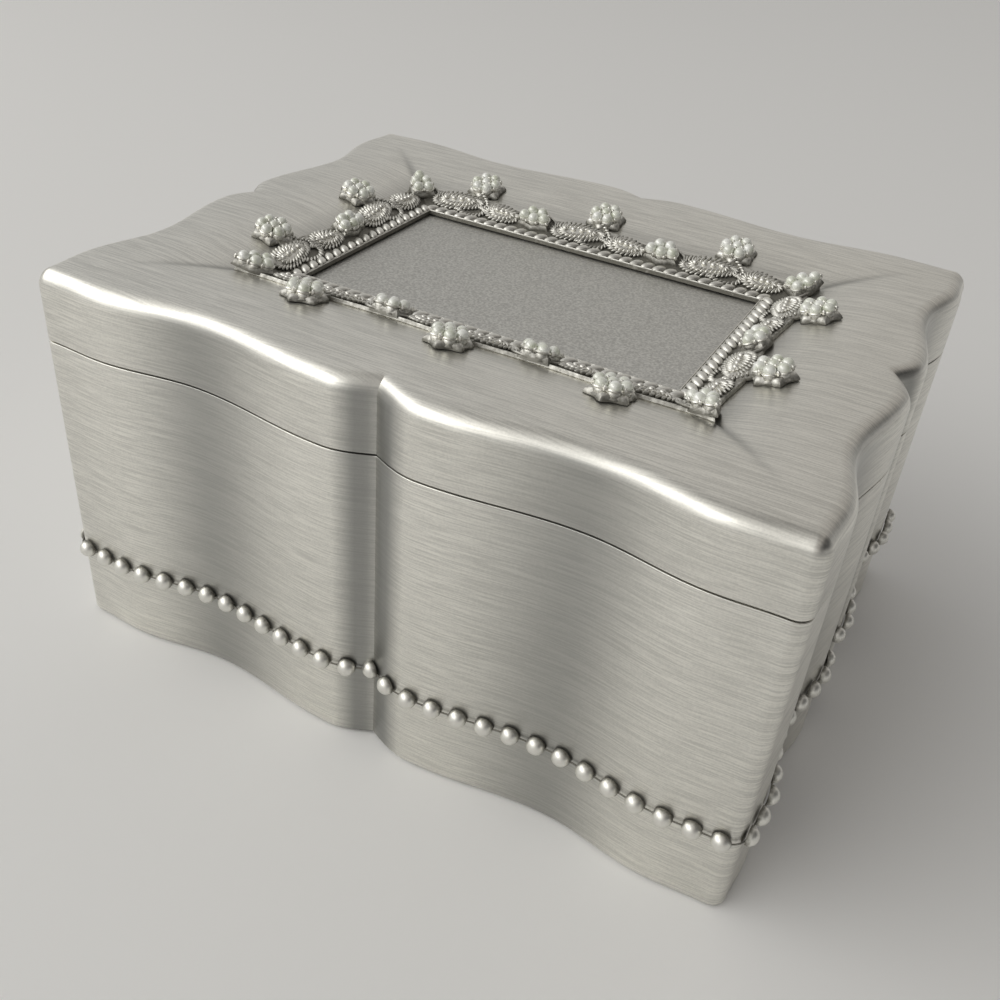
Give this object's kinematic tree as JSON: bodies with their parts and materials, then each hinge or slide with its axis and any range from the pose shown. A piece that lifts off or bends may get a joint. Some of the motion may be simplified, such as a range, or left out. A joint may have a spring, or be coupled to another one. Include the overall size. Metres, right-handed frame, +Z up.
{
  "type": "trinket box",
  "caption": "Oblong keepsake box of brushed metal with wavy sides, a beaded border and a hinged lid with a foliage frame and pearl clusters round a plain panel.",
  "frame": {"origin": "middle of the foot pad, on the surface that the box stands on", "axes": "+Z up, front towards -Y, hinges at +Y, long sides along X"},
  "size_m": [0.1382, 0.111, 0.0744],
  "materials": {
    "pewter": "brushed cast pewter",
    "panel": "blasted, matt",
    "pearl": "pearly lacquer",
    "velvet": "short velvet pile",
    "felt": "pressed felt",
    "hinge_metal": "nickel-toned brass"
  },
  "bodies": {
    "box": {"base_shell": "pewter", "bead_border": "pewter", "foot_pad": "felt", "floor_cushion": "velvet", "lining_front": "velvet", "lining_right": "velvet", "lining_back": "velvet", "lining_left": "velvet", "hinge_base_leaf_01": "hinge_metal", "hinge_base_leaf_02": "hinge_metal", "hinge_pin_01": "hinge_metal", "hinge_pin_02": "hinge_metal"},
    "lid": {"lid_shell": "pewter", "ornament_frame": "pewter", "rope_trim": "pewter", "top_panel": "panel", "lid_lining": "velvet", "flower_01": "pearl", "flower_02": "pearl", "flower_03": "pearl", "flower_04": "pearl", "flower_05": "pearl", "flower_06": "pearl", "flower_07": "pearl", "flower_08": "pearl", "flower_09": "pearl", "flower_10": "pearl", "spray_01": "pearl", "spray_02": "pearl", "spray_03": "pearl", "spray_04": "pearl", "spray_05": "pearl", "spray_06": "pearl", "corner_cluster_01": "pearl", "corner_cluster_02": "pearl", "corner_cluster_03": "pearl", "corner_cluster_04": "pearl", "hinge_lid_leaf_01": "hinge_metal", "hinge_lid_leaf_02": "hinge_metal"}
  },
  "joints": [
    {"name": "lid_hinge", "type": "hinge", "parent": "box", "child": "lid", "pos_m": [0, 0.0536, 0.05945], "axis": [-1, 0, 0], "range_deg": [0, 100]}
  ]
}
